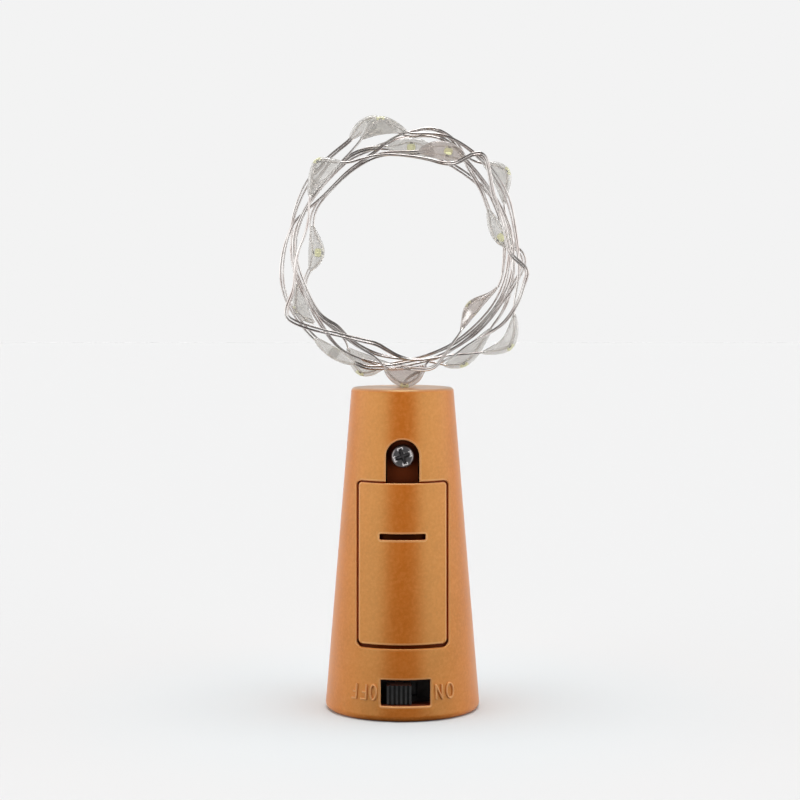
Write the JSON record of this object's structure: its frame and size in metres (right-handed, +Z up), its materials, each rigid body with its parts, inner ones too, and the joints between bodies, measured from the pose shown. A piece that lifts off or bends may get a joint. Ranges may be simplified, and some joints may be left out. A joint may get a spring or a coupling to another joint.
{
  "type": "cork bottle light",
  "caption": "Tapered cork-shaped battery light for a bottle's mouth, with a screwed battery door, a slide switch and a wire string of small lights wound into a ring.",
  "frame": {"origin": "centre of the wide end's flat base, on the surface it stands on", "axes": "+Z up along the cork's axis towards the narrow end and the ring of lights, -Y out of the face with the battery door and the switch, +X to the right seen from that face"},
  "size_m": [0.0398, 0.025, 0.0967],
  "materials": {
    "cork_plastic": "moulded, fine grain, cork brown",
    "dark_plastic": "moulded, dark brown",
    "black_plastic": "moulded, black",
    "screw_steel": "zinc plated, worn",
    "cell_steel": "nickel plated",
    "nickel": "nickel plated",
    "brass": "plain",
    "glue": "hot glue, cloudy",
    "resistor": "lacquered",
    "red_insulation": "plain",
    "black_insulation": "plain",
    "silver_wire": "enamelled silver wire",
    "phosphor": "yellow phosphor",
    "clear_resin": "clear cast resin"
  },
  "bodies": {
    "housing": {"cork_shell": "cork_plastic", "base_cap": "cork_plastic", "battery_tray": "dark_plastic", "button_cell_1": "cell_steel", "button_cell_2": "cell_steel", "button_cell_3": "cell_steel", "contact_spring": "nickel", "negative_contact": "nickel", "positive_contact": "nickel", "switch_cover": "black_plastic", "switch_body": "black_plastic", "switch_terminals": "brass", "lead_glue": "glue", "series_resistor": "resistor", "positive_wire": "red_insulation", "string_return_wire": "black_insulation", "switch_feed_wire": "black_insulation", "battery_return_wire": "black_insulation", "string_lead": "silver_wire", "string_coil": "silver_wire", "led_chips": "phosphor", "led_bead_01": "clear_resin", "led_bead_02": "clear_resin", "led_bead_03": "clear_resin", "led_bead_04": "clear_resin", "led_bead_05": "clear_resin", "led_bead_06": "clear_resin", "led_bead_07": "clear_resin", "led_bead_08": "clear_resin", "led_bead_09": "clear_resin", "led_bead_10": "clear_resin", "led_bead_11": "clear_resin", "led_bead_12": "clear_resin", "led_bead_13": "clear_resin", "led_bead_14": "clear_resin", "led_bead_15": "clear_resin"},
    "door": {"battery_door": "cork_plastic"},
    "screw": {"door_screw": "screw_steel"},
    "slider": {"switch_slider": "black_plastic", "switch_wiper": "brass"}
  },
  "joints": [
    {"name": "switch_slide", "type": "slide", "parent": "housing", "child": "slider", "axis": [1, 0, 0], "range_m": [0, 0.002]},
    {"name": "door_slide", "type": "slide", "parent": "housing", "child": "door", "axis": [0, -1, 0], "range_m": [0, 0.025]},
    {"name": "screw_turn", "type": "hinge", "parent": "door", "child": "screw", "pos_m": [0, -0.007, 0.04164], "axis": [0, -1, 0], "continuous": true}
  ]
}
